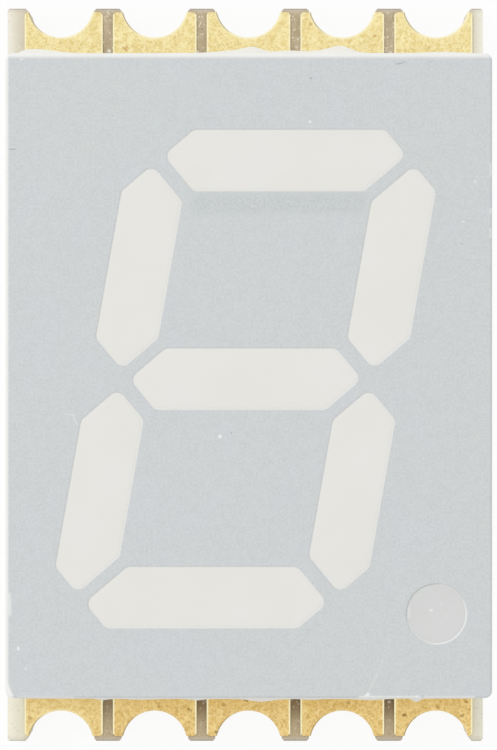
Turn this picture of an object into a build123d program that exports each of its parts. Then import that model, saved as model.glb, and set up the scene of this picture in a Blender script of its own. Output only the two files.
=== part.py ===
from build123d import *
import os
from math import cos, hypot, radians, sqrt, tan

# A single-digit seven segment display for surface mounting, in millimetres.
# Eight LED dies sit on the copper of a small circuit board. A white moulded reflector stands over them,
# and its tapered wells are cast full of milky resin, which shows as the segments and the decimal point.
# Each copper conductor ends in a plated half hole at one end of the board.
# +Z points out of the face and +Y to the top of the digit. The origin lies under the middle of the
# terminal pattern, on the plane of the solder lands.

# Digit, measured upright before it leans
digit_height = 10.16
digit_slant = 10
column_spacing = 5.14
segment_width = 1.235
segment_gap = 0.303
segment_corner = 0.18
digit_offset_x = -0.068
digit_offset_y = -0.068

# Decimal point, placed from the middle of the face
point_diameter = 1.2
point_offset_x = 3.832
point_offset_y = -4.866

# Reflector housing: sizes at the face, and drafts in degrees
housing_length = 13.17
housing_height = 3.1
housing_offset_x = 0.005
housing_offset_y = -0.033
housing_corner = 0.15
face_edge = 0.04
wall_draft = 1
well_draft = 3
well_edge = 0.03

# Terminals: plated half holes cut by the ends of the board
terminal_pitch = 2.0
columns_from_middle = 2
notch_radius = 0.69
notch_overhang = 0.055
plating_thickness = 0.03
land_gap = 0.217
land_setback = 0.15
land_corner = 0.05
land_side_margin = 0.055
top_land_length = 1.5
solder_land_length = 1.3

# Circuit board, sawn a little off the middle of the terminal pattern
board_thickness = 1.0
board_side = 1.07
board_ledge = 1.225
board_offset_x = -0.07
board_offset_y = -0.015
board_corner = 0.04
housing_inset = 0.1

# Copper tracks and pads
foil_thickness = 0.05
track_width = 0.22
die_pad_size = 0.4
bond_pad_size = 0.26

# LED dies and their bond wires
die_size = 0.24
die_height = 0.18
bond_span = 0.8
point_span_share = 0.98
wire_diameter = 0.035
ball_diameter = 0.09
ball_height = 0.03
loop_rise = 0.08
loop_crest = 0.15
loop_crest_share = 0.3
foot_rise = 0.06

# Resin squeezed out between board and housing, in low lumps along the top edge
bead_reach = 0.39
bead_height = 0.07
bead_edge = 0.03
film_inset = 0.05
bead_reach_shares = (0.70, 0.78, 0.58, 0.55, 0.62, 0.66, 0.82, 0.86, 0.76, 0.99, 0.72, 0.66, 0.69, 0.66)

# Levels
board_top = foil_thickness + board_thickness
foil_top = board_top + foil_thickness
face_top = foil_top + housing_height
resin_top = face_top - well_edge
die_top = foil_top + die_height
face_plane = Plane.XY.offset(face_top)

# Widths and lengths that follow
board_width = 2 * (columns_from_middle * terminal_pitch + board_side)
board_length = housing_length + 2 * board_ledge
housing_width = board_width - 2 * housing_inset
wall_flare = housing_height * tan(radians(wall_draft))
base_width = housing_width + 2 * wall_flare
base_length = housing_length + 2 * wall_flare
hole_radius = notch_radius + plating_thickness
hole_row = board_length / 2 + notch_overhang
land_end = hole_row - land_setback
land_half_width = (terminal_pitch - land_gap) / 2
outer_land_half_width = hole_radius + land_side_margin

# Middle lines of the digit's strokes, and where their mitred tips lie
slant_share = tan(radians(digit_slant))
column = column_spacing / 2
column_half_width = segment_width / cos(radians(digit_slant)) / 2
row = (digit_height - segment_width) / 2
mitre_share = sqrt(0.5)
corner_offset = segment_gap * mitre_share / 2
waist_offset = segment_gap * mitre_share
column_middle = (waist_offset + row - corner_offset) / 2

digit_x = housing_offset_x + digit_offset_x
digit_y = housing_offset_y + digit_offset_y
point_x = housing_offset_x + point_offset_x
point_y = housing_offset_y + point_offset_y
point_floor_radius = point_diameter / 2 - housing_height * tan(radians(well_draft))
point_half_span = point_floor_radius * point_span_share / 2


def slanted(u, v):
    """Move a point of the upright digit to its leaning place on the part."""
    return (digit_x + u + v * slant_share, digit_y + v)


def bar_outline(middle, tip_u, tip_v):
    """Six corners of a bar across the digit, mitred at 45 degrees to a tip at each end."""
    low = middle - segment_width / 2
    high = middle + segment_width / 2
    low_u = tip_u - (tip_v - low)
    high_u = tip_u - (high - tip_v)
    return [(-tip_u, tip_v), (-low_u, low), (low_u, low), (tip_u, tip_v), (high_u, high), (-high_u, high)]


def column_outline(side, half):
    """Six corners of a column: its foot at the waist, its head at a corner of the digit."""
    inner = column - column_half_width
    outer = column + column_half_width
    head_u = column + corner_offset
    head_v = row - corner_offset
    corners = [
        (column, waist_offset),
        (outer, waist_offset + outer - column),
        (outer, head_v - (outer - head_u)),
        (head_u, head_v),
        (inner, head_v - (head_u - inner)),
        (inner, waist_offset + column - inner),
    ]
    return [(side * u, half * v) for u, v in corners][:: side * half]


outlines = {
    "a": bar_outline(row, column - corner_offset, row + corner_offset),
    "b": column_outline(1, 1),
    "c": column_outline(1, -1),
    "d": bar_outline(-row, column - corner_offset, -row - corner_offset),
    "e": column_outline(-1, -1),
    "f": column_outline(-1, 1),
    "g": bar_outline(0, column - waist_offset, 0),
}

# Each die is in the middle of its segment, with its bond pad along the stroke
die_places = {
    "a": slanted(0, row),
    "b": slanted(column, column_middle),
    "c": slanted(column, -column_middle),
    "d": slanted(0, -row),
    "e": slanted(-column, -column_middle),
    "f": slanted(-column, column_middle),
    "g": slanted(0, 0),
    "point": (point_x, point_y + point_half_span),
}
bond_places = {
    "a": slanted(bond_span, row),
    "b": slanted(column, column_middle + bond_span),
    "c": slanted(column, -column_middle - bond_span),
    "d": slanted(-bond_span, -row),
    "e": slanted(-column, -column_middle - bond_span),
    "f": slanted(-column, column_middle + bond_span),
    "g": slanted(-bond_span, 0),
    "point": (point_x, point_y - point_half_span),
}

# Terminal of each conductor: its column from the middle, and the top (1) or bottom (-1) end of the board
terminals = {
    "g": (-columns_from_middle, 1),
    "f": (-1, 1),
    "a": (1, 1),
    "b": (columns_from_middle, 1),
    "e": (-columns_from_middle, -1),
    "d": (-1, -1),
    "c": (1, -1),
    "point": (columns_from_middle, -1),
}
common_terminals = [(0, 1), (0, -1)]


def draw_land(steps, end, length, mode=Mode.ADD):
    """Draw a land with its outer corners cut: the outermost ones are narrower on their outer side."""
    x = steps * terminal_pitch
    left = x - (outer_land_half_width if steps == -columns_from_middle else land_half_width)
    right = x + (outer_land_half_width if steps == columns_from_middle else land_half_width)
    root = end * (land_end - length)
    shoulder = end * (land_end - land_corner)
    tip = end * land_end
    corners = [
        (left, root),
        (right, root),
        (right, shoulder),
        (right - land_corner, tip),
        (left + land_corner, tip),
        (left, shoulder),
    ]
    Polygon(*corners[::end], align=None, mode=mode)


def draw_notch(steps, end, radius, mode):
    """Draw the round hole that the board's end cuts in half."""
    with Locations((steps * terminal_pitch, end * hole_row)):
        Circle(radius, mode=mode)


def route_to(place, steps, end):
    """Path of a track: straight in from its terminal, then 45 degrees to the given place."""
    x = steps * terminal_pitch
    turn = place[1] + end * abs(x - place[0])
    return Polyline((x, end * (land_end - top_land_length / 2)), (x, turn), place)


def save(part, name):
    """Label a finished piece and write it as its own file."""
    part.label = name
    export_step(part, f"parts/{name}.step")


os.makedirs("parts", exist_ok=True)

# Glass-epoxy board with five half holes in each end
with BuildPart() as circuit_board:
    with BuildSketch(Plane.XY.offset(foil_thickness)) as board_outline:
        with Locations((board_offset_x, board_offset_y)):
            Rectangle(board_width, board_length)
        for steps in range(-columns_from_middle, columns_from_middle + 1):
            for end in (1, -1):
                draw_notch(steps, end, hole_radius, Mode.SUBTRACT)
        chamfer(board_outline.vertices(), board_corner)
    extrude(amount=board_thickness)
save(circuit_board.part, "circuit_board")

# The common conductor joins the two middle terminals and carries all the dies: a trunk along the digit's
# lean, a branch across to each pair of columns, and a spur from segment c to the decimal point
common_routes = [
    route_to(die_places["a"], *common_terminals[0]),
    Polyline(die_places["a"], die_places["d"]),
    route_to(die_places["d"], *common_terminals[1]),
    Polyline(die_places["f"], die_places["b"]),
    Polyline(die_places["e"], die_places["c"], (point_x, die_places["c"][1]), die_places["point"]),
]

# Each net: its terminals, the paths of its tracks, the places of its pads and their size
nets = {
    name: ([terminal], [route_to(bond_places[name], *terminal)], [bond_places[name]], bond_pad_size)
    for name, terminal in terminals.items()
}
nets["common"] = (common_terminals, common_routes, die_places.values(), die_pad_size)

# Copper conductors: solder land below, tracks, pads and land on top, and the plated half hole between
conductors = []
for name, (net_terminals, routes, pads, pad_size) in nets.items():
    with BuildPart() as conductor:
        with BuildSketch():
            for terminal in net_terminals:
                draw_land(*terminal, solder_land_length)
                draw_notch(*terminal, notch_radius, Mode.SUBTRACT)
        extrude(amount=foil_thickness)
        with BuildSketch(Plane.XY.offset(board_top)):
            for route in routes:
                trace(route, track_width)
            with Locations(*pads):
                Rectangle(pad_size, pad_size)
            for terminal in net_terminals:
                draw_land(*terminal, top_land_length)
                draw_notch(*terminal, notch_radius, Mode.SUBTRACT)
        extrude(amount=foil_thickness)
        for terminal in net_terminals:
            with BuildSketch():
                draw_notch(*terminal, hole_radius, Mode.ADD)
                draw_notch(*terminal, notch_radius, Mode.SUBTRACT)
                draw_land(*terminal, solder_land_length, Mode.INTERSECT)
            extrude(amount=foil_top)
    save(conductor.part, f"conductor_{name}")
    conductors.append(conductor.part)

# LED dies, and bond wires that rise from a ball on the die and come down on the bond pad
dies = {}
wires = {}
for name, (x, y) in die_places.items():
    with BuildPart() as led_die:
        with BuildSketch(Plane.XY.offset(foil_top)):
            with Locations((x, y)):
                Rectangle(die_size, die_size)
        extrude(amount=die_height)
    save(led_die.part, f"led_die_{name}")
    dies[name] = led_die.part

    run_x = bond_places[name][0] - x
    run_y = bond_places[name][1] - y
    span = hypot(run_x, run_y)
    loop_plane = Plane(origin=(x, y, 0), x_dir=(run_x, run_y, 0), z_dir=(run_y, -run_x, 0))
    with BuildPart() as bond_wire:
        with BuildLine(loop_plane):
            Polyline(
                (0, die_top),
                (0, die_top + loop_rise),
                (span * loop_crest_share, die_top + loop_crest),
                (span, foil_top + foot_rise),
                (span, foil_top),
            )
        with BuildSketch(Plane.XY.offset(die_top)):
            with Locations((x, y)):
                RegularPolygon(wire_diameter / 2, 6)
        sweep(transition=Transition.RIGHT)
        with BuildSketch(Plane.XY.offset(die_top)):
            with Locations((x, y)):
                RegularPolygon(ball_diameter / 2, 6)
        extrude(amount=ball_height)
        with BuildSketch(Plane.XY.offset(foil_top)):
            with Locations(bond_places[name]):
                RegularPolygon(ball_diameter / 2, 6)
        extrude(amount=ball_height)
    save(bond_wire.part, f"bond_wire_{name}")
    wires[name] = bond_wire.part

# Tapered wells of the reflector: a mitred hexagon for each segment and a cone for the decimal point
wells = {}
for name, outline in outlines.items():
    with BuildPart() as well:
        with BuildSketch(face_plane):
            Polygon(*[slanted(u, v) for u, v in outline], align=None)
        extrude(amount=-housing_height)
        draft(well.faces().filter_by(Axis.Z, reverse=True), face_plane, -well_draft)
        fillet(well.edges().filter_by(Plane.XY, reverse=True), segment_corner)
    wells[name] = well.part
with BuildPart() as point_well:
    with BuildSketch(face_plane):
        with Locations((point_x, point_y)):
            Circle(point_diameter / 2)
    extrude(amount=-housing_height)
    draft(point_well.faces().filter_by(GeomType.CYLINDER), face_plane, -well_draft)
wells["point"] = point_well.part

# White moulded reflector with drafted walls, and softened rims round the face and the wells
with BuildPart() as reflector_housing:
    with BuildSketch(face_plane):
        with Locations((housing_offset_x, housing_offset_y)):
            Rectangle(housing_width, housing_length)
    extrude(amount=-housing_height)
    draft(reflector_housing.faces().filter_by(Axis.Z, reverse=True), face_plane, wall_draft)
    fillet(reflector_housing.edges().filter_by(Plane.XY, reverse=True), housing_corner)
    chamfer(reflector_housing.faces().sort_by(Axis.Z)[-1].edges(), face_edge)
    add(wells.values(), mode=Mode.SUBTRACT)
    face_holes = reflector_housing.faces().sort_by(Axis.Z)[-1].inner_wires()
    chamfer(face_holes.edges(), well_edge)
save(reflector_housing.part, "reflector_housing")

# Milky resin cast into each well, round the die and its wire, up to the foot of the softened rim
for name, well_part in wells.items():
    with BuildPart() as resin:
        add(well_part)
        split(bisect_by=Plane.XY.offset(resin_top), keep=Keep.BOTTOM)
        add([dies[name], wires[name]], mode=Mode.SUBTRACT)
    save(resin.part, "decimal_point" if name == "point" else f"segment_{name}")

# Thin resin film that bonds the housing to the board, with the lumps squeezed out at its top edge
bead_root = housing_offset_y + base_length / 2
bead_half_width = base_width / 2 - film_inset
bead_step = 2 * bead_half_width / (len(bead_reach_shares) - 1)
bead_points = [
    (housing_offset_x - bead_half_width + i * bead_step, bead_root + share * bead_reach)
    for i, share in enumerate(bead_reach_shares)
]
with BuildPart() as resin_bond_line:
    with BuildSketch(Plane.XY.offset(board_top)):
        with BuildLine():
            Spline(*bead_points)
            Polyline(
                bead_points[-1],
                (bead_points[-1][0], bead_root - film_inset),
                (bead_points[0][0], bead_root - film_inset),
                bead_points[0],
            )
        make_face()
    extrude(amount=foil_thickness + bead_height)
    chamfer(resin_bond_line.edges().group_by(Axis.Z)[-1].sort_by(Axis.Y)[-1], bead_edge)
    with BuildSketch(Plane.XY.offset(board_top)):
        with Locations((housing_offset_x, housing_offset_y)):
            Rectangle(base_width - 2 * film_inset, base_length - 2 * film_inset)
    extrude(amount=foil_thickness)
    add([*conductors, reflector_housing.part], mode=Mode.SUBTRACT)
save(resin_bond_line.part, "resin_bond_line")
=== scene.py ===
import math

import bpy
import numpy as np
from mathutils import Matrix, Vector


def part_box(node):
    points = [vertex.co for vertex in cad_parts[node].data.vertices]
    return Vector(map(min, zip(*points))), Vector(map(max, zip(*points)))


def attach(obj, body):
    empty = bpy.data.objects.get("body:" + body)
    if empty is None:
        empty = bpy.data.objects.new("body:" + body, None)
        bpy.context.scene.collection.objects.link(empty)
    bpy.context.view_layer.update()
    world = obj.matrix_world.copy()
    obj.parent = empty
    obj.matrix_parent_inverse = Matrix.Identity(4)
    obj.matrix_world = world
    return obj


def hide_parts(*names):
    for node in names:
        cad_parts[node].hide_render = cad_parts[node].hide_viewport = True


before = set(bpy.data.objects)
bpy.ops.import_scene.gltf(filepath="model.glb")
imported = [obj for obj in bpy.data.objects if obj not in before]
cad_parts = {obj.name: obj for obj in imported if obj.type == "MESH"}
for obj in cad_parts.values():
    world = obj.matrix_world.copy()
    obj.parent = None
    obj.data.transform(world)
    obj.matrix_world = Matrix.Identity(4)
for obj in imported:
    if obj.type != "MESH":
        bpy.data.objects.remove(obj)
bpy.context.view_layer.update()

# A single-digit seven segment display, dressed for its portrait from straight above the face.
# Lengths are millimetres, and MM turns them into the metres of the scene.
MM = 0.001

# Camera: close above the middle of the face, for a picture of 497 x 750
image_height = 750
focal_pixels = 3408
sensor_size = 36
camera_y = -0.02
camera_height = 73.77
nearest_seen = 1

# Levels and edges of the part, from its frame
board_low, board_high = (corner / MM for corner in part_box("circuit_board"))
housing_low, housing_high = (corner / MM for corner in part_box("reflector_housing"))
board_top = board_high.z
foil_top = housing_low.z
face_top = housing_high.z
point_low, point_high = (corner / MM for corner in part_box("decimal_point"))
point_middle = (point_low + point_high) / 2
point_radius = (point_high.x - point_low.x) / 2

# Terminals: plated half holes at a fixed pitch, in a row just past each end of the board
terminal_pitch = 2.0
notch_radius = 0.69
hole_row = 7.865
land_half_width = 0.8915
outer_land_edge = 4.775

# Resin in the wells: the walls lean in with depth, and the skin has a low crown
well_draft = 3
crown_width = 0.08
crown_rise = 0.012
crown_steps = 7
rim_tolerance = 0.002

# Resin squeezed out at the top and bottom edges of the housing.
# Each lump has its middle, its half width and the reach that it adds.
fringe_stations = 240
fringe_steps = 12
fringe_reach = 0.24
fringe_height = 0.085
fringe_root = 0.05
fringe_end_taper = 0.25
fringe_end_share = 0.75
top_lumps = (
    (-4.55, 0.75, 0.085),
    (-2.85, 0.60, -0.040),
    (-0.25, 0.75, 0.060),
    (0.10, 0.36, 0.095),
    (0.85, 0.50, 0.050),
    (1.60, 0.60, 0.055),
    (1.98, 0.42, 0.125),
    (4.15, 0.60, 0.025),
)
bottom_lumps = (
    (0.00, 6.00, 0.018),
    (-3.10, 0.20, 0.030),
    (-2.30, 0.50, 0.020),
    (-1.10, 0.25, 0.030),
    (0.28, 0.45, 0.055),
    (1.35, 0.30, 0.020),
    (2.60, 0.50, 0.030),
    (3.58, 0.14, 0.070),
)

# Light: even from all round, with a soft lamp at the upper left. The floor is seen mostly as plain white,
# and the rest of what is seen of it is lit paper, which keeps the part's shadow.
sky_strength = 0.77
lamp_place = (-65, 52, 140)
lamp_size = 90
lamp_power = 0.062
floor_white_share = 0.92

# Print on the face: it fades out inside the left and top edges, runs over the other two,
# and thins out on the rims
print_left = (-4.935, -4.875)
print_top = (6.42, 6.51)
print_rim = (0.034, 0.004)
print_bottom = (-6.56, -6.54)
print_right = (4.90, 4.92)
print_over = (0.050, 0.040)
# Mottled band under the top segment, from one point to another
band_start = (-1.0, 3.46)
band_end = (2.2, 3.5)
band_width = 0.32
# Rim of the point's well: a painted highlight on its lower right side and painted shade on its upper left
# side
rim_width = (0.012, 0.045)
lit_direction = (0.77, -0.64, 0)
highlight_reach = (0.10, 0.45)
shade_reach = (-0.50, -0.25)

# Gold: painted highlight at the edges of the lands, painted shade on the left flank of each notch and beside
# the housing's foot
edge_highlight_inset = (0.045, 0.020)
rim_highlight_width = (0.01, 0.07)
flank_shade_width = (0.012, 0.035)
flank_side = (-0.60, -0.25)
barrel_top = (0.04, 0.01)
shaded_foot = (-7.35, -6.85)
bright_left = (-4.2, -2.4)

# Board: pale near its sides, brown in the gaps between the lands, and sawn at its ends, with painted shade
# beside the housing's foot and painted light on the lower end of its pale sides
pale_strip = (0.0, 0.28)
brown_start = (0.3, 0.6)
weave_start = (0.28, 0.40)
weave_angle = 40
crumb_start = (0.75, 0.88)
tooth_end = (0.07, 0.10)
sawn_line = (0.0, 0.035)
warm_end = (-6.5, 6.5)
painted_shade_foot = (-7.6, -6.95)
dark_right = (-3.2, -1.0)

# Wear on the face: each mark runs from one point to another, with its width and strength
pale_marks = (
    (2.86, -5.35, 2.78, -5.75, 0.04, 0.05),
    (2.78, -5.75, 2.62, -6.15, 0.04, 0.10),
    (2.62, -6.15, 2.43, -6.52, 0.04, 0.16),
    (2.44, -6.54, 2.38, -6.60, 0.05, 0.90),
    (2.28, -6.61, 2.55, -6.61, 0.055, 1.00),
    (2.55, -6.61, 3.05, -6.61, 0.053, 0.95),
    (3.05, -6.61, 3.42, -6.61, 0.053, 1.00),
    (3.44, -6.60, 3.50, -6.62, 0.06, 0.95),
    (3.60, -6.61, 4.60, -6.61, 0.053, 0.80),
    (-4.70, -6.61, -3.60, -6.61, 0.053, 0.50),
    (-4.95, -6.38, -4.86, -6.62, 0.10, 1.00),
    (-4.89, -4.50, -4.87, -4.90, 0.06, 0.50),
    (-4.64, 6.42, -4.62, 6.43, 0.03, 0.60),
    (-3.75, -0.82, -3.58, -0.84, 0.03, 0.20),
    (-3.58, -0.84, -3.50, -1.04, 0.03, 0.20),
    (-0.58, -1.28, -0.58, -1.27, 0.05, 0.90),
    (1.25, 5.15, 1.26, 5.15, 0.04, 0.70),
    (-4.70, -5.58, -4.70, -5.62, 0.04, 0.70),
    (-4.55, -6.00, -4.55, -6.02, 0.04, 0.35),
    (4.62, 3.93, 4.63, 3.92, 0.05, 0.40),
    (4.38, 3.11, 4.39, 3.11, 0.04, 0.45),
    (4.95, 4.28, 4.96, 4.05, 0.05, 0.50),
    (4.95, 3.36, 4.95, 3.30, 0.05, 0.50),
    (4.95, 2.95, 4.95, 2.80, 0.05, 0.45),
)
dark_marks = (
    (3.02, 6.33, 3.10, 6.34, 0.025, 0.55),
    (3.10, 6.34, 3.20, 6.37, 0.025, 0.40),
    (3.68, 6.37, 3.76, 6.39, 0.025, 0.20),
    (1.27, 6.04, 1.28, 6.04, 0.03, 0.70),
    (-0.35, -1.20, -0.35, -1.21, 0.02, 0.70),
    (-4.88, 4.59, -4.76, 4.59, 0.02, 0.60),
    (4.35, 2.66, 4.36, 2.66, 0.03, 0.40),
)
# Stains on the gold of the terminals
stain_marks = (
    (-4.67, -7.33, -4.65, -7.34, 0.05, 0.50),
    (-1.91, -7.04, -1.91, -7.09, 0.05, 0.35),
    (-1.24, -7.17, -1.22, -7.17, 0.04, 0.50),
    (-0.70, -7.63, -0.67, -7.63, 0.04, 0.80),
    (-0.54, -7.05, -0.50, -7.06, 0.06, 0.40),
    (-0.09, -6.95, -0.03, -6.97, 0.03, 0.70),
    (2.11, -7.01, 2.14, -7.01, 0.04, 0.55),
    (3.31, -7.27, 3.33, -7.27, 0.05, 0.80),
    (4.03, -7.10, 4.05, -7.12, 0.05, 0.45),
    (4.54, -7.29, 4.57, -7.28, 0.05, 0.60),
    (4.63, -6.98, 4.65, -6.99, 0.05, 0.60),
    (-2.67, 6.96, -2.60, 6.90, 0.04, 0.55),
    (-2.60, 6.98, -2.58, 6.95, 0.04, 0.40),
    (-1.57, 7.19, -1.56, 7.18, 0.04, 0.35),
    (1.24, 7.57, 1.25, 7.57, 0.04, 0.35),
    (2.69, 7.21, 2.70, 7.21, 0.04, 0.60),
    (3.84, 6.97, 3.86, 6.97, 0.04, 0.35),
)
# Bubbles under the skin of the decimal point, and painted highlights: a glint at its edge and its paler lower
# right
bubble_and_highlight_marks = (
    # Painted highlight: a glint at the left edge of the point
    (3.275, -4.78, 3.268, -4.96, 0.05, 0.45),
    (3.71, -4.82, 3.74, -4.83, 0.045, 0.75),
    (3.93, -4.69, 3.94, -4.69, 0.04, 0.35),
    (4.05, -4.94, 4.06, -4.94, 0.05, 0.25),
    # Painted highlight: the paler lower right of the point
    (3.95, -5.25, 4.25, -5.00, 0.70, 0.08),
)


def tone(red, green, blue):
    """A display colour, 0 to 255 each, as the linear colour that the shaders take."""
    shares = np.array((red, green, blue)) / 255
    linear = np.where(shares <= 0.04045, shares / 12.92, ((shares + 0.055) / 1.055) ** 2.4)
    return (*linear.tolist(), 1.0)


class Web:
    """A node tree, with short calls that add nodes and join them."""

    def __init__(self, tree):
        self.tree = tree

    def join(self, value, socket):
        """Link a socket to another, or set its value."""
        if isinstance(value, bpy.types.NodeSocket):
            self.tree.links.new(value, socket)
        else:
            socket.default_value = value

    def node(self, kind, inputs=None, **settings):
        """Add a shader node with its settings, and its inputs by name or number."""
        made = self.tree.nodes.new("ShaderNode" + kind)
        for name, value in settings.items():
            setattr(made, name, value)
        for key, value in (inputs or {}).items():
            self.join(value, made.inputs[key])
        return made

    def sum(self, operation, *values):
        """A sum on numbers."""
        return self.node("Math", dict(enumerate(values)), operation=operation).outputs[0]

    def vector_sum(self, operation, *values, output="Vector"):
        """A sum on vectors."""
        return self.node("VectorMath", dict(enumerate(values)), operation=operation).outputs[output]

    def ramp(self, value, low, high, from_low=0.0, to_high=1.0):
        """A smooth step from one value below low to another above high."""
        inputs = {"Value": value, "From Min": low, "From Max": high, "To Min": from_low, "To Max": to_high}
        return self.node("MapRange", inputs, interpolation_type="SMOOTHSTEP").outputs[0]

    def mix(self, share, first, second):
        """Two colours mixed by a share."""
        mixed = self.node("Mix", data_type="RGBA")
        sockets = {socket.identifier: socket for socket in mixed.inputs}
        self.join(share, sockets["Factor_Float"])
        self.join(first, sockets["A_Color"])
        self.join(second, sockets["B_Color"])
        return next(socket for socket in mixed.outputs if socket.identifier == "Result_Color")

    def tint(self, mask, strength, colour, under):
        """A colour laid over another where a mask says, at the given strength."""
        return self.mix(self.sum("MULTIPLY", mask, strength), under, colour)

    def axes(self, place):
        """The x, y and z of a place."""
        return self.node("SeparateXYZ", {0: place}).outputs

    def highest(self, first, *others):
        """The largest of several values."""
        for other in others:
            first = self.sum("MAXIMUM", first, other)
        return first

    def use(self, effect, **inputs):
        """Place a shared effect, fill its inputs and return its mask."""
        placed = self.node("Group", node_tree=effect)
        for name, value in inputs.items():
            self.join(value, placed.inputs[name.capitalize()])
        return placed.outputs["Mask"]


class Effect(Web):
    """A shared effect: a shader group that reads a place in millimetres and puts out a mask."""

    def __init__(self, name, **numbers):
        super().__init__(bpy.data.node_groups.new(name, "ShaderNodeTree"))
        sockets = self.tree.interface
        sockets.new_socket("Place", in_out="INPUT", socket_type="NodeSocketVector")
        for number, default in numbers.items():
            kind = "NodeSocketVector" if isinstance(default, tuple) else "NodeSocketFloat"
            socket = sockets.new_socket(number.capitalize(), in_out="INPUT", socket_type=kind)
            socket.default_value = default
        sockets.new_socket("Mask", in_out="OUTPUT", socket_type="NodeSocketFloat")
        self.given = self.tree.nodes.new("NodeGroupInput").outputs

    def close(self, mask):
        """Put out the mask and return the group."""
        self.join(mask, self.tree.nodes.new("NodeGroupOutput").inputs["Mask"])
        return self.tree


def make_mottle():
    """Cloudy patches: noise whose features have the given size, spread to run from 0 to 1."""
    web = Effect("mottle", patch=0.5, detail=3.0, seed=0.0)
    inputs = {
        "Vector": web.given["Place"],
        "W": web.given["Seed"],
        "Scale": web.sum("DIVIDE", 1.0, web.given["Patch"]),
        "Detail": web.given["Detail"],
        "Roughness": 0.6,
    }
    noise = web.node("TexNoise", inputs, noise_dimensions="4D").outputs[0]
    return web.close(web.ramp(noise, 0.3, 0.7))


def make_specks():
    """Scattered dots: the middles of random cells, of which a share carries a dot of random size."""
    web = Effect("specks", spacing=0.5, radius=0.02, share=0.3)
    scale = web.sum("DIVIDE", 1.0, web.given["Spacing"])
    cells = web.node("TexVoronoi", {"Vector": web.given["Place"], "Scale": scale})
    chance, size = web.node("SeparateColor", {0: cells.outputs["Color"]}).outputs[:2]
    radius = web.sum("MULTIPLY", web.given["Radius"], web.ramp(size, 0.0, 1.0, 0.5, 1.3))
    away = web.sum("MULTIPLY", cells.outputs["Distance"], web.given["Spacing"])
    dot = web.ramp(away, web.sum("MULTIPLY", radius, 0.5), radius, 1.0, 0.0)
    return web.close(web.sum("MULTIPLY", dot, web.sum("LESS_THAN", chance, web.given["Share"])))


def make_stroke():
    """A straight mark: full near the line between two points, and gone at its width from it."""
    web = Effect("stroke", start=(0.0, 0.0, 0.0), end=(1.0, 0.0, 0.0), width=0.03)
    away = web.vector_sum("SUBTRACT", web.given["Place"], web.given["Start"])
    run = web.vector_sum("SUBTRACT", web.given["End"], web.given["Start"])
    reach = web.vector_sum("DOT_PRODUCT", away, run, output="Value")
    share = web.sum("DIVIDE", reach, web.vector_sum("DOT_PRODUCT", run, run, output="Value"))
    share = web.node("Clamp", {"Value": share}).outputs[0]
    foot = web.node("VectorMath", {0: run, "Scale": share}, operation="SCALE").outputs[0]
    gap = web.vector_sum("DISTANCE", away, foot, output="Value")
    inner = web.sum("MULTIPLY", web.given["Width"], 0.3)
    return web.close(web.ramp(gap, inner, web.given["Width"], 1.0, 0.0))


mottle = make_mottle()
specks = make_specks()
stroke = make_stroke()


class Finish(Web):
    """A material in the making: its shader, and the place on the part in millimetres."""

    def __init__(self, name):
        self.material = bpy.data.materials.new(name)
        self.material.use_nodes = True
        super().__init__(self.material.node_tree)
        self.shader = self.tree.nodes["Principled BSDF"]
        where = self.node("TexCoord").outputs["Object"]
        self.place = self.node("Mapping", {"Vector": where, "Scale": (1 / MM, 1 / MM, 1 / MM)}).outputs[0]

    def clouds(self, patch, detail=3.0, seed=0.0):
        """Cloudy patches on this finish."""
        return self.use(mottle, place=self.place, patch=patch, detail=detail, seed=seed)

    def dots(self, spacing, radius, share, shift=(0, 0, 0)):
        """Scattered dots on this finish; the shift gives another scatter."""
        place = self.node("Mapping", {"Vector": self.place, "Location": shift}).outputs[0]
        return self.use(specks, place=place, spacing=spacing, radius=radius, share=share)

    def marks(self, table, level, colour, under):
        """Lay each mark of a table over a colour, at the given level."""
        for start_x, start_y, end_x, end_y, width, strength in table:
            start = (start_x, start_y, level)
            end = (end_x, end_y, level)
            mark = self.use(stroke, place=self.place, start=start, end=end, width=width)
            under = self.tint(mark, strength, colour, under)
        return under

    def close(self, colour, roughness, height, depth):
        """Join colour, roughness and a bump of the given depth to the shader, and return the material."""
        self.join(colour, self.shader.inputs["Base Color"])
        self.join(roughness, self.shader.inputs["Roughness"])
        bump = self.node("Bump", {"Strength": 1.0, "Distance": depth * MM, "Height": height})
        self.join(bump.outputs[0], self.shader.inputs["Normal"])
        return self.material


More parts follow.
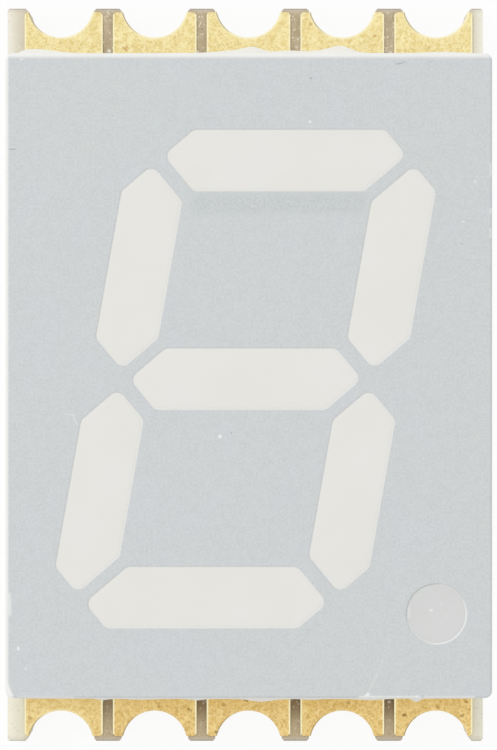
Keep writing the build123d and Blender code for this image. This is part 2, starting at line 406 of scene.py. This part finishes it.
def printed_plastic():
    """White moulded plastic with a light grey print on its face, worn at the edges and dusty.
    Round the point's well, a painted highlight lies on one side and painted shade on the other."""
    finish = Finish("printed_plastic")
    x, y, z = finish.axes(finish.place)
    tint_clouds = finish.clouds(1.3, detail=2.0, seed=3.0)
    blotches = finish.clouds(0.16, detail=2.0, seed=5.0)
    grain = finish.clouds(0.05, detail=2.0, seed=6.0)

    left = finish.ramp(x, *print_left)
    top = finish.ramp(y, *print_top, 1.0, 0.0)
    level = finish.ramp(z, *(face_top - depth for depth in print_rim))
    edge = finish.highest(finish.ramp(y, *print_bottom, 1.0, 0.0), finish.ramp(x, *print_right))
    over = finish.sum("MULTIPLY", edge, finish.ramp(z, *(face_top - depth for depth in print_over)))
    printed = finish.sum("MULTIPLY", finish.sum("MULTIPLY", left, top), finish.highest(level, over))

    ink = finish.mix(tint_clouds, tone(205, 210, 209), tone(206, 210, 214))
    ink = finish.tint(blotches, 0.60, tone(198, 202, 203), ink)
    ink = finish.tint(grain, 0.60, tone(219, 222, 222), ink)
    start = (*band_start, face_top)
    end = (*band_end, face_top)
    band = finish.use(stroke, place=finish.place, start=start, end=end, width=band_width)
    band = finish.sum("MULTIPLY", band, finish.ramp(grain, 0.3, 0.8))
    ink = finish.tint(band, 0.7, tone(190, 195, 196), ink)
    white = finish.mix(tint_clouds, tone(240, 240, 236), tone(244, 244, 241))
    colour = finish.mix(printed, white, ink)
    pale_dust = finish.dots(0.7, 0.022, 0.16)
    dark_dust = finish.dots(0.9, 0.018, 0.14, shift=(7.3, 2.1, 0))
    # Dark dirt for the marks below; the same colour serves as painted shade on the rim of the point's well
    dirt_and_rim_shade = tone(160, 164, 166)
    colour = finish.tint(pale_dust, 0.7, tone(236, 238, 237), colour)
    colour = finish.tint(dark_dust, 0.5, tone(178, 182, 184), colour)
    colour = finish.marks(pale_marks, face_top, tone(244, 245, 242), colour)
    colour = finish.marks(dark_marks, face_top, dirt_and_rim_shade, colour)

    from_point = finish.vector_sum("SUBTRACT", finish.place, (point_middle.x, point_middle.y, face_top))
    from_rim = finish.sum("SUBTRACT", finish.vector_sum("LENGTH", from_point, output="Value"), point_radius)
    ring = finish.ramp(finish.sum("ABSOLUTE", from_rim), *rim_width, 1.0, 0.0)
    # Painted light round the point's well: a painted highlight on the side towards the lower right, painted
    # shade on the side towards the upper left
    aside = finish.vector_sum("DOT_PRODUCT", from_point, lit_direction, output="Value")
    rim_highlight = finish.sum("MULTIPLY", ring, finish.ramp(aside, *highlight_reach))
    colour = finish.tint(rim_highlight, 0.65, tone(244, 246, 244), colour)
    rim_shade = finish.sum("MULTIPLY", ring, finish.ramp(aside, *shade_reach, 1.0, 0.0))
    colour = finish.tint(rim_shade, 0.35, dirt_and_rim_shade, colour)
    height = finish.sum("MULTIPLY_ADD", blotches, 0.6, grain)
    return finish.close(colour, 0.55, height, 0.0012)


def milky_resin(name, pale, warm, bubble_share, marks=()):
    """Cast milky resin: faint creamy clouds, a smooth skin and a few small bubbles."""
    finish = Finish(name)
    clouds = finish.clouds(1.2, detail=2.0, seed=8.0)
    bubbles = finish.dots(0.45, 0.022, bubble_share)
    colour = finish.tint(bubbles, 0.5, tone(240, 240, 238), finish.mix(clouds, pale, warm))
    colour = finish.marks(marks, face_top, tone(240, 241, 240), colour)
    skin = finish.clouds(0.3, detail=2.0, seed=9.0)
    return finish.close(colour, 0.42, finish.sum("ADD", skin, bubbles), 0.001)


def gold_plating():
    """Gold over copper: mottled, pitted, with a painted highlight at its edges and painted shade on one flank
    and the wall of each notch.
    The bottom row takes shaded tones and the top row lit ones, with painted shade deepest beside the housing."""
    finish = Finish("gold_plating")
    x, y, z = finish.axes(finish.place)
    across = finish.sum("WRAP", x, terminal_pitch / 2, -terminal_pitch / 2)
    to_row = finish.sum("SUBTRACT", finish.sum("ABSOLUTE", y), hole_row)
    from_hole = finish.sum(
        "SQRT",
        finish.sum("ADD", finish.sum("MULTIPLY", across, across), finish.sum("MULTIPLY", to_row, to_row)),
    )
    # Painted light: the top row takes lit tones and the bottom row shaded ones, and the left end of the
    # bottom row takes part of the lit tones
    lit_upper_row = finish.highest(finish.ramp(y, -hole_row, hole_row), finish.ramp(x, *bright_left, 0.45, 0.0))
    # Painted highlight along the sides of the lands and round the notches, stronger in the top row
    sides = (land_half_width - inset for inset in edge_highlight_inset)
    side = finish.ramp(finish.sum("ABSOLUTE", across), *sides)
    outer_sides = (outer_land_edge - inset for inset in edge_highlight_inset)
    outer = finish.ramp(finish.sum("ABSOLUTE", x), *outer_sides)
    rim = finish.ramp(from_hole, *(notch_radius + width for width in rim_highlight_width), 1.0, 0.0)
    rim = finish.sum("MULTIPLY", rim, finish.sum("MULTIPLY_ADD", lit_upper_row, 0.8, 0.1))
    edge = finish.highest(side, outer, rim)
    # Painted shade on the left flank of each notch
    flank_shade = finish.ramp(from_hole, *(notch_radius + width for width in flank_shade_width), 1.0, 0.0)
    flank_shade = finish.sum("MULTIPLY", flank_shade, finish.ramp(across, *flank_side, 1.0, 0.0))
    # Painted shade on the walls of the notches
    barrel_shade = finish.ramp(z, *(foil_top - depth for depth in barrel_top), 1.0, 0.0)
    # Painted shade on the bottom row beside the housing's foot
    foot = finish.ramp(y, *shaded_foot)
    foot = finish.sum("MULTIPLY", foot, finish.sum("LESS_THAN", y, 0.0))

    clouds = finish.clouds(0.15, detail=4.0, seed=1.0)
    grain = finish.clouds(0.055, detail=2.0, seed=2.0)
    blush = finish.clouds(0.3, detail=2.0, seed=4.0)
    flecks = finish.ramp(finish.clouds(0.045, detail=1.0, seed=7.0), 0.45, 0.9)
    # Each tone below has a shaded copy for the bottom row and a lit copy for the top row
    bright = finish.mix(lit_upper_row, tone(240, 214, 146), tone(250, 236, 176))
    stained = finish.mix(lit_upper_row, tone(218, 184, 106), tone(236, 214, 142))
    rosy = finish.mix(lit_upper_row, tone(226, 182, 98), tone(248, 222, 160))
    glinting = finish.mix(lit_upper_row, tone(248, 224, 164), tone(252, 242, 196))
    freckled = finish.mix(lit_upper_row, tone(188, 148, 74), tone(216, 190, 112))
    pitted = finish.mix(lit_upper_row, tone(142, 106, 44), tone(192, 152, 84))
    marked = finish.mix(lit_upper_row, tone(140, 108, 46), tone(190, 144, 74))
    shadowed = tone(152, 128, 82)
    pits = finish.dots(0.26, 0.05, 0.12)
    colour = finish.mix(clouds, bright, stained)
    colour = finish.tint(blush, 0.35, rosy, colour)
    colour = finish.tint(grain, 0.6, glinting, colour)
    colour = finish.tint(flecks, 0.5, freckled, colour)
    colour = finish.tint(foot, 0.35, tone(200, 160, 82), colour)
    colour = finish.tint(pits, 0.6, pitted, colour)
    colour = finish.marks(stain_marks, foil_top, marked, colour)
    # Painted highlight on the edges of the lands and the rims of the notches
    colour = finish.tint(edge, 0.85, tone(253, 246, 206), colour)
    # Painted shade on the flanks and walls of the notches
    colour = finish.tint(flank_shade, 0.7, shadowed, colour)
    colour = finish.tint(barrel_shade, 0.5, shadowed, colour)
    roughness = finish.sum("MULTIPLY_ADD", clouds, 0.12, 0.26)
    height = finish.sum("SUBTRACT", finish.sum("MULTIPLY_ADD", clouds, 0.5, grain), pits)
    finish.shader.inputs["Metallic"].default_value = 1.0
    return finish.close(colour, roughness, height, 0.0012)


def glass_epoxy():
    """Glass cloth in amber epoxy: pale near its free sides, with painted shade beside the housing's foot,
    greyer teeth and a dark line at the sawn ends. The pale sides carry painted light at the lower end.
    Fibres, hollows and crumbs of resin speckle it."""
    finish = Finish("glass_epoxy")
    x, y = finish.axes(finish.place)[:2]
    from_side = finish.sum(
        "MINIMUM",
        finish.sum("SUBTRACT", x, board_low.x),
        finish.sum("SUBTRACT", board_high.x, x),
    )
    from_end = finish.sum(
        "MINIMUM",
        finish.sum("SUBTRACT", y, board_low.y),
        finish.sum("SUBTRACT", board_high.y, y),
    )
    clouds = finish.clouds(0.2, detail=4.0, seed=11.0)
    lower_end = finish.ramp(y, *warm_end, 1.0, 0.0)
    brown = finish.mix(clouds, tone(182, 165, 134), tone(202, 186, 156))
    brown = finish.tint(lower_end, 0.6, tone(206, 185, 146), brown)
    # Painted shade in the gaps beside the housing's foot at the lower end, deeper towards the right
    shade = finish.sum("MULTIPLY", finish.ramp(y, *painted_shade_foot), lower_end)
    shade = finish.sum("MULTIPLY", shade, finish.ramp(x, *dark_right, 0.75, 1.0))
    brown = finish.tint(shade, 0.9, tone(124, 97, 54), brown)
    strip = finish.mix(finish.ramp(from_side, *pale_strip), tone(243, 240, 226), tone(222, 214, 194))
    # Painted light: the pale strips are lighter towards the lower end, where the housing shades the board
    strip = finish.tint(lower_end, 0.5, tone(247, 244, 221), strip)
    colour = finish.mix(finish.ramp(from_side, *brown_start), strip, brown)

    turn = (0, 0, math.radians(weave_angle))
    turned = {"Vector": finish.place, "Rotation": turn, "Scale": (1.0, 0.75, 1.0)}
    thread = finish.node("Mapping", turned).outputs[0]
    fibres = finish.use(specks, place=thread, spacing=0.05, radius=0.021, share=0.5)
    inner = finish.ramp(from_side, *weave_start, 0.35, 1.0)
    bare = finish.sum("MULTIPLY", inner, finish.sum("MULTIPLY_ADD", lower_end, -0.5, 1.0))
    colour = finish.tint(finish.sum("MULTIPLY", fibres, bare), 0.8, tone(234, 224, 204), colour)
    hollows = finish.dots(0.07, 0.03, 0.3, shift=(3.1, 5.7, 0))
    colour = finish.tint(finish.sum("MULTIPLY", hollows, inner), 0.4, tone(150, 132, 104), colour)
    crumbs = finish.sum("MULTIPLY", finish.dots(0.1, 0.04, 0.45), finish.ramp(from_end, *crumb_start))
    colour = finish.tint(crumbs, 0.9, tone(238, 234, 222), colour)

    tooth = finish.ramp(from_end, *tooth_end, 1.0, 0.0)
    colour = finish.tint(finish.sum("MULTIPLY", tooth, inner), 0.65, tone(206, 196, 182), colour)
    sawn = finish.ramp(from_end, *sawn_line, 1.0, 0.0)
    colour = finish.tint(sawn, 0.6, tone(124, 112, 96), colour)
    grain = finish.clouds(0.06, detail=2.0, seed=12.0)
    return finish.close(colour, 0.6, finish.sum("ADD", grain, fibres), 0.002)


def die_crystal():
    """Sawn semiconductor crystal with a faint grain."""
    finish = Finish("die_crystal")
    grain = finish.clouds(0.04)
    return finish.close(finish.mix(grain, tone(120, 96, 70), tone(150, 122, 88)), 0.3, grain, 0.0005)


def drawn_wire():
    """Fine drawn gold wire."""
    finish = Finish("drawn_wire")
    grain = finish.clouds(0.02, detail=2.0)
    finish.shader.inputs["Metallic"].default_value = 1.0
    return finish.close(finish.mix(grain, tone(236, 196, 104), tone(246, 214, 132)), 0.25, grain, 0.0003)


# Finish of each node, by the start of its name
finishes = {
    "reflector_housing": printed_plastic(),
    "segment": milky_resin("segment_resin", tone(234, 233, 229), tone(232, 231, 226), 0.02),
    "decimal_point": milky_resin("point_resin", tone(216, 215, 215), tone(214, 218, 215), 0.1, bubble_and_highlight_marks),
    "resin_bond_line": milky_resin("bond_resin", tone(241, 240, 234), tone(244, 243, 238), 0.05),
    "conductor": gold_plating(),
    "circuit_board": glass_epoxy(),
    "led_die": die_crystal(),
    "bond_wire": drawn_wire(),
}


def finish_for(name):
    """The finish whose name starts the node's name."""
    return next(material for start, material in finishes.items() if name.startswith(start))


def new_piece(name, points, faces, replaced, sharp_angle=40):
    """A mesh object in place of a node, smooth but for edges sharper than the given angle."""
    mesh = bpy.data.meshes.new(name)
    mesh.from_pydata(points, [], faces)
    mesh.polygons.foreach_set("use_smooth", np.ones(len(mesh.polygons), dtype=bool))
    mesh.set_sharp_from_angle(angle=math.radians(sharp_angle))
    mesh.materials.append(finish_for(replaced))
    piece = bpy.data.objects.new(name, mesh)
    bpy.context.scene.collection.objects.link(piece)
    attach(piece, "root")
    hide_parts(replaced)


def ring_faces(rings, sides):
    """Quads between closed rings of points, and a cap on the first and the last ring."""
    ring, side = np.meshgrid(np.arange(rings - 1), np.arange(sides), indexing="ij")
    after = (side + 1) % sides
    here, there = ring * sides, (ring + 1) * sides
    quads = np.stack((here + side, here + after, there + after, there + side), axis=-1).reshape(-1, 4)
    first = np.arange(sides)[::-1]
    last = np.arange(sides) + (rings - 1) * sides
    return [*quads.tolist(), first.tolist(), last.tolist()]


def node_points(node):
    """Places of all the vertices of a node's solid."""
    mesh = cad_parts[node].data
    places = np.empty(3 * len(mesh.vertices))
    mesh.vertices.foreach_get("co", places)
    return places.reshape(-1, 3) / MM


def cast_resin(node):
    """Resin in its well: a profile carried round the rim of the solid, at a mitred inset from it.
    From the foot it leans out by the draft to the rim. From there the skin rises to the flat middle
    along the parabola rise * (1 - (1 - t) squared), where t is the share of the crown's width."""
    places = node_points(node)
    foot, top = places[:, 2].min(), places[:, 2].max()
    rim = np.unique(places[places[:, 2] > top - rim_tolerance][:, :2].round(4), axis=0)
    spokes = rim - rim.mean(axis=0)
    rim = rim[np.argsort(np.arctan2(spokes[:, 1], spokes[:, 0]))]

    runs = rim - np.roll(rim, 1, axis=0)
    inward = np.stack((-runs[:, 1], runs[:, 0]), axis=1) / np.linalg.norm(runs, axis=1)[:, None]
    onward = np.roll(inward, -1, axis=0)
    mitre = (inward + onward) / (1 + (inward * onward).sum(axis=1))[:, None]

    shares = np.linspace(0, 1, crown_steps)
    lean = (top - foot) * math.tan(math.radians(well_draft))
    insets = np.concatenate(([lean], shares * crown_width))
    levels = np.concatenate(([foot], top + crown_rise * (1 - (1 - shares) ** 2)))
    flat = rim + insets[:, None, None] * mitre
    points = np.dstack((flat, np.broadcast_to(levels[:, None], flat.shape[:2])))
    new_piece(node + "_cast", points.reshape(-1, 3) * MM, ring_faces(len(insets), len(rim)), node)


def fringe_dome(stations, lumps, ends):
    """Reach and height of a fringe at each station. The reach is a base plus a bell curve for each lump,
    tapered by a sine at both ends, and the height grows with it."""
    middles, half_widths, swells = np.array(lumps).T
    bells = swells * np.exp(-2 * ((stations - middles) / half_widths) ** 2)
    reach = fringe_reach + bells.sum(axis=1, keepdims=True)
    from_end = np.minimum(stations - ends[0], ends[1] - stations) / fringe_end_taper
    reach *= fringe_end_share + (1 - fringe_end_share) * np.sin(np.clip(from_end, 0, 1) * math.pi / 2)
    return reach, fringe_height * reach / reach.max()


def squeezed_resin():
    """Bond line with its fringes: a closed profile carried along the housing, across from edge to edge.
    Under the housing it is a flat film. Outside, its height over the copper is height * (1 - t squared),
    where t is the share of the reach from the wall, and it ends in a step down to the board."""
    low, high = (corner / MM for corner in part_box("resin_bond_line"))
    stations = np.linspace(low.x, high.x, fringe_stations)[:, None]
    top_reach, top_height = fringe_dome(stations, top_lumps, (low.x, high.x))
    bottom_reach, bottom_height = fringe_dome(stations, bottom_lumps, (low.x, high.x))
    shares = np.linspace(0, 1, fringe_steps)
    fall = 1 - shares ** 2
    every = np.ones_like(stations)
    roots = every * (housing_low.y + fringe_root, housing_high.y - fringe_root)

    bottom_y = housing_low.y - bottom_reach * shares
    top_y = housing_high.y + top_reach * shares
    film_y = np.hstack((roots[:, :1], roots, roots[:, 1:]))
    y = np.hstack((bottom_y[:, -1:], bottom_y[:, ::-1], film_y, top_y, top_y[:, -1:]))
    bottom_z = foil_top + bottom_height * fall
    top_z = foil_top + top_height * fall
    film_z = np.hstack((bottom_z[:, :1], every * (foil_top, foil_top), top_z[:, :1]))
    z = np.hstack((every * board_top, bottom_z[:, ::-1], film_z, top_z, every * board_top))
    points = np.dstack((stations * np.ones_like(y), y, z)).reshape(-1, 3) * MM
    new_piece("resin_fringe", points, ring_faces(*y.shape), "resin_bond_line")


for name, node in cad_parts.items():
    for holder in node.material_slots:
        holder.material = finish_for(name)
for letter in "abcdefg":
    cast_resin("segment_" + letter)
cast_resin("decimal_point")
squeezed_resin()


def white_when_seen(web, lit, seen_share):
    """Mix a lit shader with plain white for rays from the camera, mirrors and glass."""
    light = web.node("LightPath").outputs
    seen = web.highest(light["Is Camera Ray"], light["Is Glossy Ray"], light["Is Transmission Ray"])
    glow = web.node("Emission", {"Color": (1, 1, 1, 1), "Strength": 1.0}).outputs[0]
    share = web.sum("MULTIPLY", seen, seen_share)
    return web.node("MixShader", {0: share, 1: lit, 2: glow}).outputs[0]


def lay_floor(half_width=500, depth=0.02):
    """A white floor just under the part, lit enough to keep the part's shadow."""
    corners = np.array([(-1, -1), (1, -1), (1, 1), (-1, 1)]) * half_width
    corners = np.column_stack((corners, np.full(4, -depth))) * MM
    mesh = bpy.data.meshes.new("floor")
    mesh.from_pydata(corners, [], [(0, 1, 2, 3)])
    material = bpy.data.materials.new("floor_paper")
    material.use_nodes = True
    material.node_tree.nodes.clear()
    web = Web(material.node_tree)
    paper = web.node("BsdfDiffuse", {"Color": (0.95, 0.95, 0.95, 1)}).outputs[0]
    web.node("OutputMaterial", {"Surface": white_when_seen(web, paper, floor_white_share)})
    mesh.materials.append(material)
    floor = bpy.data.objects.new("floor", mesh)
    bpy.context.scene.collection.objects.link(floor)


def hang_sky(strength):
    """Even light from all round."""
    world = bpy.data.worlds.new("studio")
    world.use_nodes = True
    world.node_tree.nodes.clear()
    web = Web(world.node_tree)
    soft = web.node("Background", {"Color": (1, 1, 1, 1), "Strength": strength}).outputs[0]
    web.node("OutputWorld", {"Surface": white_when_seen(web, soft, 1.0)})
    bpy.context.scene.world = world


def hang_lamp(name, place, size, power):
    """A soft square lamp that faces the part and is not mirrored in it."""
    lamp = bpy.data.lights.new(name, "AREA")
    lamp.size = size * MM
    lamp.energy = power
    holder = bpy.data.objects.new(name, lamp)
    holder.location = np.array(place) * MM
    holder.rotation_euler = holder.location.to_track_quat("Z", "Y").to_euler()
    holder.visible_glossy = False
    bpy.context.scene.collection.objects.link(holder)


def set_camera():
    """The camera looks straight down on the face, with the top of the digit upwards."""
    lens = bpy.data.cameras.new("portrait")
    lens.sensor_width = sensor_size
    lens.lens = focal_pixels / image_height * sensor_size
    lens.clip_start = nearest_seen * MM
    holder = bpy.data.objects.new("portrait", lens)
    holder.location = (0, camera_y * MM, camera_height * MM)
    bpy.context.scene.collection.objects.link(holder)
    bpy.context.scene.camera = holder


lay_floor()
hang_sky(sky_strength)
hang_lamp("key", lamp_place, lamp_size, lamp_power)
set_camera()
bpy.context.scene.view_settings.view_transform = "Standard"
